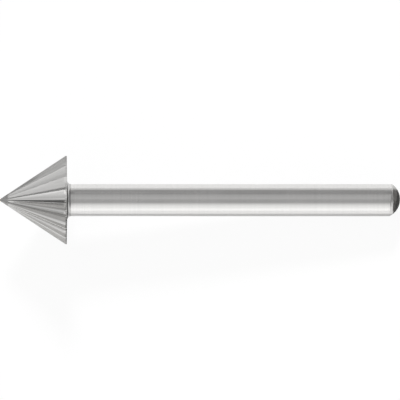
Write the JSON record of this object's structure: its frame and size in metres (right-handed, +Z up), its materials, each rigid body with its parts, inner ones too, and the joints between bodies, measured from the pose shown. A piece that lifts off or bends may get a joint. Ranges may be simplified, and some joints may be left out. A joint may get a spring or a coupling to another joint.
{
  "type": "rotary burr",
  "caption": "Cone-headed rotary burr: straight milled teeth run down a pointed head on a ground cylindrical shank with a domed end.",
  "frame": {"origin": "on the table under the middle of the burr as it lies, Z = 0 the table it rests on", "axes": "+Z up, the burr points its tip towards -X and its shank end towards +X, its axis tilted 4.9 degrees down towards the shank end because the head is wider than the shank"},
  "size_m": [0.0372, 0.0082, 0.0081],
  "materials": {
    "tool_steel": "hardened tool steel: ground shank with fine grinding lines around it, milled bright tooth faces with darker flute roots, dark scale in the neck corner and on the domed end"
  },
  "bodies": {
    "root": {"burr": "tool_steel"}
  },
  "joints": []
}
